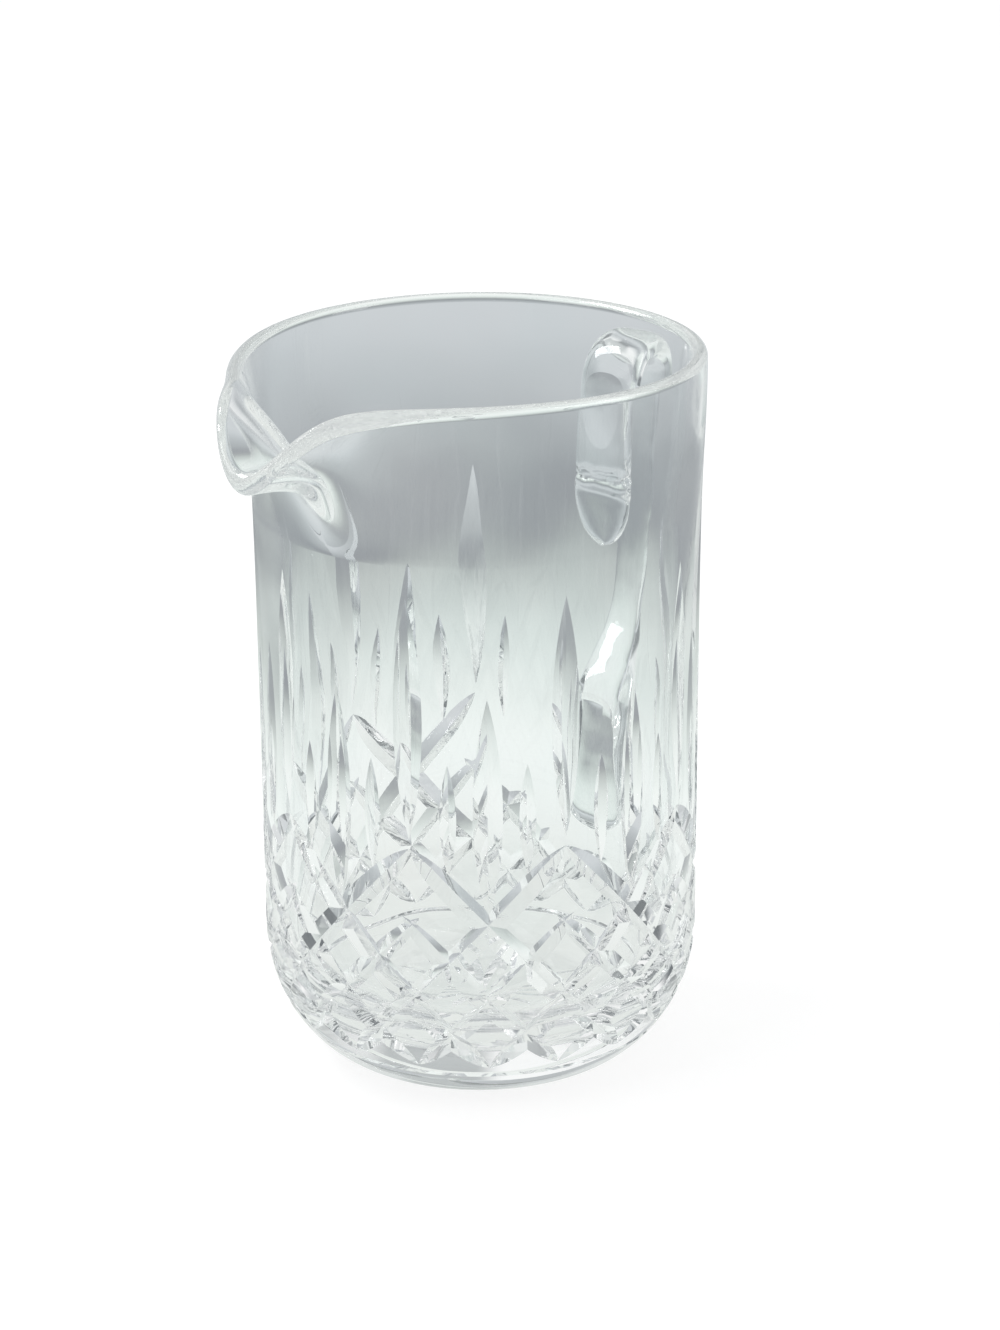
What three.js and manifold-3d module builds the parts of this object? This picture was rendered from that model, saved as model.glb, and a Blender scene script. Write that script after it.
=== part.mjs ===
// A cut glass pitcher: a blown body with a pulled pouring lip, mitre cuts and a
// star-cut base, and the strap handle that was laid on it while it was hot.
// Millimetres, +Z up. The origin is the centre of the foot, on the table.
// The lip points along -X and the handle along +X.

import * as THREE from 'three';
import { mergeVertices } from 'three/addons/utils/BufferGeometryUtils.js';
import Module from 'manifold-3d';

const wasm = await Module();
wasm.setup();

// Body, outer skin
const height = 165;
const bodyRadius = 49.6;
const footRadius = 28.9;
const cornerHeight = 30.1;
const cornerFootPull = 8.5;
const cornerWallPull = 18;
const flareStart = 102;
const flareReach = 1.1;

// Body, glass thickness
const wall = 5.2;
const rimWall = 3.6;
const thinningStart = 96;
const baseThickness = 14;
const innerFloorRadius = 20;
const innerCornerTop = 33;

// Pouring lip
const throatStart = 130;
const beakReach = 14.2;
const beakSpread = 14.5;
const beakPower = 8;
const throatReach = 13;
const throatSpread = 36;
const beakDrop = 12.8;
const dropSpread = 8;
const shoulderRise = 2.1;
const shoulderSpread = 50;
const throatLean = 1.8;
const lipThickening = 1.4;
const thickeningSpread = 18;

// Handle
const wallGap = 0.3;
const strapWidth = 16.5;
const strapThickness = 6.4;
const handleReach = 25;
const lowerSealHeight = 51;
const tailTipHeight = 106;
const crimpHeight = 121;
const handleCrown = 152.5;
const lowerRootHeight = 38;
const lowerRootLength = 9;
const rootTurn = 18;
const rootSunk = 3;
const rootDrop = 5;
const heelReach = 3.4;
const heelRise = 4;
const ankleReach = 8.6;
const ankleRise = 14.5;
const shinReach = 15.6;
const shinRise = 26;
const kneeSag = 1.2;
const kneeRise = 38.5;
const uprightShift = 12;
const tailThickness = 5;
const tailThinning = 21;
const tailWidening = 1.6;
const tailTipThickness = 1.6;
const crimpDepth = 1.1;
const crimpSpread = 1.3;
const strapSquareness = 2.8;

// Cutting
const repeats = 9;
const cutSideAngle = 55;
const latticeTop = 66;
const latticeBottom = 12.2;
const latticeSteps = 3;
const latticeDepth = 2;
const latticeFullness = 8;
const crossTop = 50;
const crossDepth = 1.7;
const crossFullness = 6;
const lancetFullness = 2;
const lancetWidth = 6.8;
const tallLancetTop = 123;
const tallLancetFoot = 68;
const middleLancetTop = 101;
const middleLancetFoot = 49;
const shortLancetTop = 86;
const shortLancetFoot = 60;
const shortLancetWidth = 3.8;
const ringHeight = 9.7;
const ringDepth = 0.7;
const starRays = 16;
const starSideAngle = 60;
const starInner = 4;
const starOuter = 26.5;
const starDepth = 1.4;
const starFullness = 2.5;
const panelWidth = 50;
const sealMargin = 2.5;
const shortestMitre = 16;

// Fineness of the surfaces
const columnStep = 6;
const beakHalfAngle = 30;
const throatRings = 7;
const rimSteps = 4;
const cornerSteps = 5;
const bowlSteps = 4;
const lancetStations = 6;
const latticeSpacing = 7;
const fewestStations = 4;
const rayStations = 4;
const cutterProud = 0.5;
const strapStations = 44;
const strapSides = 14;
const crownSteps = 6;
const roomSteps = 8;
const lineSteps = 400;

const degrees = THREE.MathUtils.degToRad;
const bell = (offset, spread) => Math.exp(-((offset / spread) ** 2));

// A closed mesh becomes a solid for joining and cutting.
function solidOf(geometry) {
  const plain = geometry.clone();
  plain.deleteAttribute('normal');
  plain.deleteAttribute('uv');
  const merged = mergeVertices(plain, 1e-5);
  return new wasm.Manifold(new wasm.Mesh({
    numProp: 3,
    vertProperties: new Float32Array(merged.attributes.position.array),
    triVerts: new Uint32Array(merged.index.array),
  }));
}

function geometryOf(solid) {
  const mesh = solid.getMesh();
  const geometry = new THREE.BufferGeometry();
  geometry.setAttribute('position', new THREE.BufferAttribute(mesh.vertProperties, 3));
  geometry.setIndex(new THREE.BufferAttribute(mesh.triVerts, 1));
  geometry.computeVertexNormals();
  return geometry;
}

// Closed rings of equal length, each a list of points, skinned into one body.
// The first and last rings are closed by a fan to their own end point.
function loft(rings, startPoint, endPoint) {
  const size = rings[0].length;
  const positions = [startPoint, ...rings.flat(), endPoint].flatMap((p) => p.toArray());
  const last = rings.length * size + 1;
  const index = [];
  for (let i = 0; i < size; i += 1) {
    const next = (i + 1) % size;
    index.push(0, 1 + next, 1 + i);
    for (let k = 0; k + 1 < rings.length; k += 1) {
      const a = 1 + k * size + i;
      const b = 1 + k * size + next;
      index.push(a, b, b + size, a, b + size, a + size);
    }
    const base = last - size;
    index.push(base + i, base + next, last);
  }
  const geometry = new THREE.BufferGeometry();
  geometry.setAttribute('position', new THREE.Float32BufferAttribute(positions, 3));
  geometry.setIndex(index);
  return geometry;
}

const outerRadius = (z) => {
  const rise = Math.max(0, z - flareStart) / (height - flareStart);
  return bodyRadius + flareReach * rise * rise;
};

const glassAt = (z) => {
  const share = THREE.MathUtils.clamp((z - thinningStart) / (height - thinningStart), 0, 1);
  return wall + (rimWall - wall) * share;
};

// The outer skin from the centre of the base out to the wall, as one line.
function skinLine() {
  const line = new THREE.Path();
  line.moveTo(0, 0);
  line.lineTo(footRadius, 0);
  line.bezierCurveTo(footRadius + cornerFootPull, 0, bodyRadius, cornerHeight - cornerWallPull,
    bodyRadius, cornerHeight);
  line.lineTo(bodyRadius, flareStart);
  line.lineTo(outerRadius(height), height);
  line.arcLengthDivisions = lineSteps;
  return line;
}

const skin = skinLine();
const skinLength = skin.getLength();

// Distance along the skin, from the centre of the base, at which it reaches a height.
function runAt(z) {
  let low = footRadius;
  let high = skinLength;
  while (high - low > 1e-6) {
    const middle = (low + high) / 2;
    if (skin.getPointAt(middle / skinLength).y < z) low = middle;
    else high = middle;
  }
  return (low + high) / 2;
}

// Point and outward normal on the skin at an angle about Z and a run.
function skinPlace(angle, run) {
  const spot = skin.getPointAt(run / skinLength);
  const along = skin.getTangentAt(run / skinLength);
  const cos = Math.cos(angle);
  const sin = Math.sin(angle);
  return {
    point: new THREE.Vector3(spot.x * cos, spot.x * sin, spot.y),
    normal: new THREE.Vector3(along.y * cos, along.y * sin, -along.x),
  };
}

// The middle line of the glass from the throat's start up to the rim, at an angle
// from the middle of the lip. The wide throat leans out all the way up and the
// narrow beak is folded out only just below the rim.
class ThroatLine extends THREE.Curve {
  constructor(offset) {
    super();
    const drop = beakDrop * bell(offset, dropSpread) - shoulderRise * bell(offset, shoulderSpread);
    const reach = throatReach * bell(offset, throatSpread);
    const start = new THREE.Vector2(outerRadius(throatStart) - glassAt(throatStart) / 2, throatStart);
    const end = new THREE.Vector2(outerRadius(height) - rimWall / 2 + reach, height - rimWall / 2 - drop);
    const rise = end.y - start.y;
    const lean = throatLean * Math.atan2(reach, rise);
    const pull = start.distanceTo(end) / 3;
    this.throat = new THREE.CubicBezierCurve(
      start,
      new THREE.Vector2(start.x, start.y + rise / 3),
      new THREE.Vector2(end.x - pull * Math.sin(lean), end.y - pull * Math.cos(lean)),
      end,
    );
    this.beak = beakReach * bell(offset, beakSpread);
  }

  getPoint(t, target = new THREE.Vector2()) {
    this.throat.getPoint(t, target);
    target.x += this.beak * t ** beakPower;
    return target;
  }
}

// Outer and inner points beside the throat's middle line, and the round rim.
function throatPoints(offset) {
  const line = new ThroatLine(offset);
  const outer = [];
  const inner = [];
  const rimHalf = (rimWall + lipThickening * bell(offset, thickeningSpread)) / 2;
  const startHalf = glassAt(throatStart) / 2;
  for (let i = 0; i <= throatRings; i += 1) {
    const t = Math.sin((Math.PI / 2) * (i / throatRings));
    const at = line.getPoint(t);
    const along = line.getTangent(t);
    const side = new THREE.Vector2(along.y, -along.x);
    const half = startHalf + (rimHalf - startHalf) * t;
    outer.push(at.clone().addScaledVector(side, half));
    inner.unshift(at.clone().addScaledVector(side, -half));
  }
  const end = line.getPoint(1);
  const along = line.getTangent(1);
  const side = new THREE.Vector2(along.y, -along.x);
  const round = [];
  for (let i = 1; i < rimSteps; i += 1) {
    const turn = (Math.PI * i) / rimSteps;
    round.push(end.clone()
      .addScaledVector(side, rimHalf * Math.cos(turn))
      .addScaledVector(along, rimHalf * Math.sin(turn)));
  }
  return [...outer, ...round, ...inner];
}

// The foot, the ring cut above it and the round corner, from the base upwards.
function cornerPoints() {
  const first = runAt(ringHeight);
  const last = runAt(cornerHeight);
  const foot = [new THREE.Vector2(footRadius, 0)];
  const ring = [-1, 0, 1].map((step) => {
    const run = first + step * ringDepth;
    const { point, normal } = skinPlace(0, run);
    const sunk = step === 0 ? ringDepth : 0;
    return new THREE.Vector2(point.x - normal.x * sunk, point.z - normal.z * sunk);
  });
  const between = skin.getPointAt((footRadius + first - ringDepth) / 2 / skinLength);
  const corner = [];
  for (let i = 1; i <= cornerSteps; i += 1) {
    const run = first + ringDepth + ((last - first - ringDepth) * i) / cornerSteps;
    corner.push(skin.getPointAt(run / skinLength));
  }
  return [...foot, between, ...ring, ...corner];
}

// The bowl inside: down the wall, round the inner corner, to the floor.
function bowlPoints() {
  const innerRadius = bodyRadius - wall;
  const bend = new THREE.CubicBezierCurve(
    new THREE.Vector2(innerRadius, innerCornerTop),
    new THREE.Vector2(innerRadius, baseThickness + (innerCornerTop - baseThickness) / 3),
    new THREE.Vector2((innerRadius + innerFloorRadius) / 2, baseThickness),
    new THREE.Vector2(innerFloorRadius, baseThickness),
  );
  return [new THREE.Vector2(innerRadius, thinningStart), ...bend.getPoints(bowlSteps)];
}

// Angles from the lip at which the body has a column of points.
function columnOffsets() {
  const offsets = [];
  for (let a = -180; a < 180; a += columnStep) {
    offsets.push(a);
    if (Math.abs(a + columnStep / 2) < beakHalfAngle) offsets.push(a + columnStep / 2);
  }
  return offsets;
}

function bodyBlank() {
  const corner = cornerPoints();
  const bowl = bowlPoints();
  const wallTop = [new THREE.Vector2(bodyRadius, flareStart)];
  const columns = columnOffsets().map((offset) => {
    const angle = Math.PI + degrees(offset);
    return [...corner, ...wallTop, ...throatPoints(offset), ...bowl].map(
      (p) => new THREE.Vector3(p.x * Math.cos(angle), p.x * Math.sin(angle), p.y),
    );
  });
  const rings = columns[0].map((_, k) => columns.map((column) => column[k]));
  return solidOf(loft(rings, new THREE.Vector3(0, 0, 0), new THREE.Vector3(0, 0, baseThickness)));
}

// How far the straight line between two places dips under the skin.
function sagBetween(a, b) {
  const chord = a.point.distanceTo(b.point);
  return (chord * a.normal.angleTo(b.normal)) / 8;
}

// A V-shaped cut along the skin, from one angle and run to another. It is
// deepest in its middle and comes to a point at both ends. Its open side stands
// proud of the skin all along.
function mitre({ from, to, depth, sideAngle, fullness, stations }) {
  const past = (1 + cutterProud / depth) ** (1 / fullness);
  const places = [];
  for (let i = 0; i <= stations; i += 1) {
    const x = past * Math.sin((Math.PI * i) / stations - Math.PI / 2);
    const share = (x + 1) / 2;
    const angle = from.angle + (to.angle - from.angle) * share;
    const run = from.run + (to.run - from.run) * share;
    const sunk = depth * (1 - Math.abs(x) ** fullness);
    places.push({ ...skinPlace(angle, run), sunk });
  }
  const lifted = (place, lift) => place.point.clone().addScaledVector(place.normal, lift);
  const rings = [];
  for (let i = 1; i < stations; i += 1) {
    const [before, place, after] = places.slice(i - 1, i + 2);
    const along = after.point.clone().sub(before.point).normalize();
    const side = new THREE.Vector3().crossVectors(place.normal, along).normalize();
    const proud = cutterProud + Math.max(sagBetween(before, place), sagBetween(place, after));
    const half = (place.sunk + proud) * Math.tan(degrees(sideAngle));
    rings.push([
      lifted(place, proud).addScaledVector(side, half),
      lifted(place, proud).addScaledVector(side, -half),
      lifted(place, -place.sunk),
    ]);
  }
  return solidOf(loft(rings, lifted(places[0], cutterProud), lifted(places[stations], cutterProud)));
}

// The parts of a slanting cut that stay clear of the plain panel round the
// handle's lower seal, whose outline on the skin is an ellipse.
function clearOfPanel(from, to) {
  const turns = Math.round((from.angle + to.angle) / 2 / (2 * Math.PI)) * 2 * Math.PI;
  const halfWidth = panelWidth / 2 / bodyRadius;
  const halfHeight = lowerRootHeight / 2 + sealMargin;
  const x = (from.angle - turns) / halfWidth;
  const y = (from.run - runAt(lowerSealHeight)) / halfHeight;
  const dx = (to.angle - from.angle) / halfWidth;
  const dy = (to.run - from.run) / halfHeight;
  const a = dx * dx + dy * dy;
  const b = x * dx + y * dy;
  const inside = b * b - a * (x * x + y * y - 1);
  if (inside <= 0) return [{ from, to }];
  const along = (share) => ({
    angle: from.angle + (to.angle - from.angle) * share,
    run: from.run + (to.run - from.run) * share,
  });
  const enter = (-b - Math.sqrt(inside)) / a;
  const leave = (-b + Math.sqrt(inside)) / a;
  if (enter >= 1 || leave <= 0) return [{ from, to }];
  const parts = [{ from, to: along(enter) }, { from: along(leave), to }];
  const shares = [enter, 1 - leave];
  const length = Math.hypot((to.angle - from.angle) * bodyRadius, to.run - from.run);
  return parts.filter((_, i) => shares[i] * length > shortestMitre);
}

// Slanting cuts take as many stations as their length asks for.
function slantingCuts(from, to, depth, fullness) {
  return clearOfPanel(from, to).map((part) => {
    const width = (part.to.angle - part.from.angle) * bodyRadius;
    const length = Math.hypot(width, part.to.run - part.from.run);
    const stations = Math.max(fewestStations, Math.round(length / latticeSpacing));
    return mitre({ ...part, depth, sideAngle: cutSideAngle, fullness, stations });
  });
}

// An upright, pointed cut on the wall, its width set by how deep it goes.
function lancet(angle, foot, tip, width) {
  return mitre({
    from: { angle, run: runAt(foot) },
    to: { angle, run: runAt(tip) },
    depth: width / 2 / Math.tan(degrees(cutSideAngle)),
    sideAngle: cutSideAngle,
    fullness: lancetFullness,
    stations: lancetStations,
  });
}

// Whether the plain panel behind the handle takes in the wall at an angle.
function onPanel(angle) {
  const around = Math.atan2(Math.sin(angle), Math.cos(angle));
  return Math.abs(around) * bodyRadius < panelWidth / 2;
}

// Four kinds of lancet in turn round the wall: tall ones over the points of the
// lattice, middle ones over its hollows and short ones between. The wheel can't
// reach behind the handle, so a panel is left plain there.
function lancets() {
  const pitch = (2 * Math.PI) / repeats;
  const kinds = [
    { turn: 0, foot: tallLancetFoot, top: tallLancetTop, width: lancetWidth },
    { turn: 0.5, foot: middleLancetFoot, top: middleLancetTop, width: lancetWidth },
    { turn: 0.25, foot: shortLancetFoot, top: shortLancetTop, width: shortLancetWidth },
    { turn: 0.75, foot: shortLancetFoot, top: shortLancetTop, width: shortLancetWidth },
  ];
  const cuts = [];
  for (let i = 0; i < repeats; i += 1) {
    for (const kind of kinds) {
      const angle = (i + kind.turn) * pitch;
      if (!onPanel(angle)) cuts.push(lancet(angle, kind.foot, kind.top, kind.width));
    }
  }
  return cuts;
}

// Slanting mitres that cross into a lattice of diamonds. Those that start half
// a step on are the fine ones, which quarter the lower diamonds.
function lattice() {
  const cuts = [];
  const pitch = (2 * Math.PI) / repeats;
  const low = runAt(latticeBottom);
  const high = runAt(latticeTop);
  const slope = ((pitch / 2) * latticeSteps) / (high - low);
  const crossHigh = runAt(crossTop);
  for (let i = 0; i < repeats; i += 1) {
    for (const way of [-1, 1]) {
      const tip = i * pitch;
      const from = { angle: tip - way * slope * (high - low), run: low };
      const to = { angle: tip, run: high };
      cuts.push(...slantingCuts(from, to, latticeDepth, latticeFullness));
      const fine = tip + pitch / 2;
      const fineFrom = { angle: fine - way * slope * (high - low), run: low };
      const fineTo = { angle: fine - way * slope * (high - crossHigh), run: crossHigh };
      cuts.push(...slantingCuts(fineFrom, fineTo, crossDepth, crossFullness));
    }
  }
  return cuts;
}

// Rays ground into the underside, round a small flat left in the middle.
function star() {
  const cuts = [];
  for (let i = 0; i < starRays; i += 1) {
    const angle = ((2 * Math.PI) / starRays) * i;
    cuts.push(mitre({
      from: { angle, run: starInner },
      to: { angle, run: starOuter },
      depth: starDepth,
      sideAngle: starSideAngle,
      fullness: starFullness,
      stations: rayStations,
    }));
  }
  return cuts;
}

function bodyGeometry() {
  const cutters = [...lancets(), ...lattice(), ...star()];
  return geometryOf(bodyBlank().subtract(wasm.Manifold.union(cutters)));
}

// The strap's middle line: out of the lower seal, up, round the crown in a half
// turn and down the wall to the tip of the tail.
function strapLine() {
  const outside = bodyRadius + handleReach - strapThickness / 2;
  const tailLine = outerRadius(crimpHeight) + wallGap + tailThickness / 2;
  const turn = (outside - tailLine) / 2;
  const turnHeight = handleCrown - turn;
  const points = [
    [bodyRadius - rootSunk, lowerSealHeight - rootDrop],
    [bodyRadius + heelReach, lowerSealHeight + heelRise],
    [bodyRadius + ankleReach, lowerSealHeight + ankleRise],
    [bodyRadius + shinReach, lowerSealHeight + shinRise],
    [outside - kneeSag, lowerSealHeight + kneeRise],
    [outside, (lowerSealHeight + turnHeight) / 2 + uprightShift],
  ];
  for (let i = 0; i <= crownSteps; i += 1) {
    const angle = (Math.PI * i) / crownSteps;
    points.push([tailLine + turn * (1 + Math.cos(angle)), turnHeight + turn * Math.sin(angle)]);
  }
  points.push([tailLine, crimpHeight]);
  points.push([outerRadius(tailTipHeight) + wallGap + tailTipThickness / 2, tailTipHeight]);
  return new THREE.CatmullRomCurve3(points.map(([x, z]) => new THREE.Vector3(x, 0, z)));
}

// Width and thickness of the strap at a distance from its start and its end.
function strapSection(fromRoot, toTip) {
  const rootSwell = (lowerRootHeight - strapThickness) * bell(fromRoot, lowerRootLength);
  const tongue = crimpHeight - tailTipHeight;
  const { smoothstep, lerp } = THREE.MathUtils;
  const thinning = 1 - smoothstep(toTip, tongue, tongue + tailThinning);
  const taper = 1 - smoothstep(toTip, 0, tongue);
  const past = 1 - Math.min(toTip / tongue, 1);
  const crimp = crimpDepth * bell(toTip - tongue, crimpSpread);
  const thickness = lerp(strapThickness, tailThickness, thinning) - crimp;
  return {
    width: (strapWidth + tailWidening * thinning) * Math.sqrt(1 - past * past),
    thickness: lerp(thickness, tailTipThickness, taper) + rootSwell,
  };
}

// Rings of the strap, upright where it lies on the wall and then square to its line.
function strapGeometry() {
  const line = strapLine();
  const length = line.getLength();
  const across = new THREE.Vector3(0, 1, 0);
  const upright = new THREE.Vector3(0, 0, 1);
  const rings = [];
  for (let i = 0; i < strapStations; i += 1) {
    const u = i / strapStations;
    const at = line.getPointAt(u);
    const along = line.getTangentAt(u);
    const square = new THREE.Vector3().crossVectors(along, across);
    const turned = THREE.MathUtils.smoothstep(u * length, 0, rootTurn);
    const up = upright.clone().lerp(square, turned).normalize();
    const { width, thickness } = strapSection(u * length, (1 - u) * length);
    const ring = [];
    for (let k = 0; k < strapSides; k += 1) {
      const turn = (2 * Math.PI * k) / strapSides;
      const cos = Math.cos(turn);
      const sin = Math.sin(turn);
      const x = Math.sign(cos) * Math.abs(cos) ** (2 / strapSquareness) * (width / 2);
      const y = Math.sign(sin) * Math.abs(sin) ** (2 / strapSquareness) * (thickness / 2);
      ring.push(at.clone().addScaledVector(across, x).addScaledVector(up, y));
    }
    rings.push(ring);
  }
  return loft(rings, line.getPointAt(0), line.getPointAt(1));
}

// The room that the body takes, with the gap left round it.
function bodyRoom() {
  const profile = [new THREE.Vector2(0, 0), new THREE.Vector2(bodyRadius + wallGap, 0)];
  for (let i = 0; i <= roomSteps; i += 1) {
    const z = flareStart + ((height - flareStart) * i) / roomSteps;
    profile.push(new THREE.Vector2(outerRadius(z) + wallGap, z));
  }
  profile.push(new THREE.Vector2(0, height));
  const room = new THREE.LatheGeometry(profile, 360 / columnStep);
  room.rotateX(Math.PI / 2);
  return solidOf(room);
}

function handleGeometry() {
  return geometryOf(solidOf(strapGeometry()).subtract(bodyRoom()));
}

function glass(name, color) {
  return new THREE.MeshStandardMaterial({ name, color, roughness: 0.03, metalness: 0, transparent: true, opacity: 0.4 });
}

const pitcher = new THREE.Group();
const body = new THREE.Mesh(bodyGeometry(), glass('cut_glass', 0xe4ecea));
body.name = 'body';
const handle = new THREE.Mesh(handleGeometry(), glass('strap_glass', 0xdfe8e6));
handle.name = 'handle';
pitcher.add(body, handle);

export default pitcher;
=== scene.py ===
"""A small cut glass pitcher, dressed around its packed construction.

The body is one blown and cut piece of lead crystal with a pulled lip. The handle
is a strap of the same glass, looped and pressed on. Sizes are in millimetres and
become metres only where a mesh is written. The foot stands on z = 0, the lip
points along -X and the handle along +X.
"""

from __future__ import annotations

import logging
import math
from collections.abc import Callable
from dataclasses import dataclass, field
from enum import Enum
from functools import partial

import bpy
import numpy as np
from bpy.types import Material, Mesh, Node, NodeSocket, NodeTree, Object, World
from mathutils import Matrix, Vector

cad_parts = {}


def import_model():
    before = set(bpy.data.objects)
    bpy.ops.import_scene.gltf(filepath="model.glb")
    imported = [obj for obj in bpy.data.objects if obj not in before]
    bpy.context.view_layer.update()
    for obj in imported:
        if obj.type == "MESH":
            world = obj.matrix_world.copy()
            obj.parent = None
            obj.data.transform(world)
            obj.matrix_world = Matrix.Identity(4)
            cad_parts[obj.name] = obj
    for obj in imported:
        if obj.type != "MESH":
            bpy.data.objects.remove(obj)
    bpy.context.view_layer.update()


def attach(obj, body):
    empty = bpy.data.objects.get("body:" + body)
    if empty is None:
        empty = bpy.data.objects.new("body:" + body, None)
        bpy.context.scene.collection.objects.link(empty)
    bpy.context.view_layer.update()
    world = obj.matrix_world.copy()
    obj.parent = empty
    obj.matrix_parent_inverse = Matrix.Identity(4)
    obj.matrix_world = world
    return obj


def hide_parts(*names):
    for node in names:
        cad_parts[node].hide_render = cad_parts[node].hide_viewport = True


LOG = logging.getLogger("pitcher")
MM = 0.001
ROOT = "root"

Pair = tuple[float, float]
Triple = tuple[float, float, float]
Stops = tuple[tuple[float, str], ...]
Numbers = np.ndarray | float


class Ending(Enum):
    """How a lofted tube of rings is closed at one end."""

    FLAT = "flat"
    POINT = "point"


def bell(offset: Numbers, spread: float) -> Numbers:
    """Return exp(-(offset / spread)^2), a smooth hump one high at zero."""
    return np.exp(-((offset / spread) ** 2))


def smooth(value: Numbers, low: float, high: float) -> Numbers:
    """Return a smooth step from 0 at low to 1 at high, 3t^2 - 2t^3 between."""
    t = np.clip((value - low) / (high - low), 0.0, 1.0)
    return t * t * (3.0 - 2.0 * t)


def columns(*parts: np.ndarray) -> np.ndarray:
    """Put arrays side by side along a new last axis."""
    return np.stack(parts, axis=-1)


def runs_along(line: np.ndarray) -> np.ndarray:
    """Return each point's distance along a line of points, from the first."""
    steps = np.linalg.norm(np.diff(line, axis=0), axis=-1)
    return np.concatenate([[0.0], np.cumsum(steps)])


def unit(vectors: np.ndarray) -> np.ndarray:
    """Return vectors, along the last axis, at length one."""
    return vectors / np.linalg.norm(vectors, axis=-1, keepdims=True)


def bezier(points: list[np.ndarray], t: np.ndarray) -> np.ndarray:
    """Return points of a cubic Bezier curve, one for each t.

    Args:
        points: The four control points, arrays whose last axis is x, y or r, z.
        t: Shares of the curve from 0 to 1, shaped to multiply the points.

    Returns:
        The points (1-t)^3 a + 3(1-t)^2 t b + 3(1-t) t^2 c + t^3 d.
    """
    a, b, c, d = points
    s = 1.0 - t
    return s**3 * a + 3 * s**2 * t * b + 3 * s * t**2 * c + t**3 * d


def bezier_slope(points: list[np.ndarray], t: np.ndarray) -> np.ndarray:
    """Return the derivative 3((1-t)^2 (b-a) + 2(1-t) t (c-b) + t^2 (d-c)) for each t.

    Args:
        points: The four control points.
        t: Shares of the curve from 0 to 1.

    Returns:
        The derivatives, in the order of t.
    """
    a, b, c, d = points
    s = 1.0 - t
    return 3.0 * (s**2 * (b - a) + 2 * s * t * (c - b) + t**2 * (d - c))


def loft(rings: np.ndarray, start: Ending, end: Ending) -> tuple[np.ndarray, list[list[int]]]:
    """Skin closed rings into one closed tube, faces pointing outwards.

    Vertex (k, i) of the rings joins (k, i+1), (k+1, i+1) and (k+1, i). A flat end
    is one face, and a pointed end is a fan to the mean of its ring.

    Args:
        rings: Array of ring, point, coordinate, the points running anticlockwise
            seen from beyond the last ring.
        start: How the first ring is closed.
        end: How the last ring is closed.

    Returns:
        The vertices and the faces.
    """
    count, size = rings.shape[:2]
    vertices = rings.reshape(-1, 3)
    k = np.arange(count - 1)[:, None] * size
    i = np.arange(size)[None, :]
    j = (i + 1) % size
    quads = columns(k + i, k + j, k + size + j, k + size + i).reshape(-1, 4)
    faces = quads.tolist()
    top = (count - 1) * size
    near = np.arange(size)
    next_near = (near + 1) % size
    if start is Ending.FLAT:
        faces.append(near[::-1].tolist())
    else:
        hub = len(vertices)
        vertices = np.vstack([vertices, rings[0].mean(axis=0)])
        faces += columns(np.full(size, hub), next_near, near).tolist()
    if end is Ending.FLAT:
        faces.append((near + top).tolist())
    else:
        hub = len(vertices)
        vertices = np.vstack([vertices, rings[-1].mean(axis=0)])
        faces += columns(np.full(size, hub), near + top, next_near + top).tolist()
    return vertices, faces


def mesh_object(name: str, vertices: np.ndarray, faces: list[list[int]]) -> Object:
    """Write millimetre vertices and faces into a new smooth mesh object.

    Args:
        name: The object's name.
        vertices: Array of vertices in millimetres.
        faces: Lists of vertex numbers.

    Returns:
        The object, at the origin, linked to the scene.
    """
    mesh = bpy.data.meshes.new(name)
    mesh.from_pydata((vertices * MM).tolist(), [], faces)
    mesh.polygons.foreach_set("use_smooth", np.ones(len(mesh.polygons), dtype=bool))
    mesh.update()
    made = bpy.data.objects.new(name, mesh)
    bpy.context.scene.collection.objects.link(made)
    return made


def linear(code: str, alpha: float = 1.0) -> tuple[float, float, float, float]:
    """Turn an sRGB hex colour such as '#E6EEEC' into linear RGBA.

    Args:
        code: The colour, with its hash.
        alpha: The alpha value.

    Returns:
        Linear red, green, blue and the alpha.
    """
    values = [int(code[n : n + 2], 16) / 255.0 for n in (1, 3, 5)]
    red, green, blue = (v / 12.92 if v <= 0.04045 else ((v + 0.055) / 1.055) ** 2.4 for v in values)
    return (red, green, blue, alpha)


def read_all(items, name: str, size: int = 1, kind: type = np.int64) -> np.ndarray:
    """Return an attribute of size numbers, read from all items of a mesh, in one row."""
    values = np.zeros(len(items) * size, dtype=kind)
    items.foreach_get(name, values)
    return values


def add_node(tree: NodeTree, kind: str, settings: dict | None = None, **inputs) -> Node:
    """Add a node, set it up and link or fill its inputs.

    Args:
        tree: The node tree.
        kind: The node's type name, after "ShaderNode".
        settings: Attributes to set on the node.
        **inputs: Socket name, with spaces as underscores, or socket number after
            an underscore, to a value, an output socket or a node's first output.

    Returns:
        The new node.
    """
    node = tree.nodes.new("ShaderNode" + kind)
    for key, value in (settings or {}).items():
        setattr(node, key, value)
    for key, value in inputs.items():
        name = key.replace("_", " ").strip()
        socket = node.inputs[int(name)] if name.isdigit() else node.inputs[name]
        value = value.outputs[0] if isinstance(value, Node) else value
        if isinstance(value, NodeSocket):
            tree.links.new(value, socket)
        else:
            socket.default_value = value
    return node


def node_maker(owner: Material | World) -> Callable[..., Node]:
    """Empty the node tree of a material or world and return what adds nodes to it."""
    owner.use_nodes = True
    owner.node_tree.nodes.clear()
    return partial(add_node, owner.node_tree)


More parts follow.
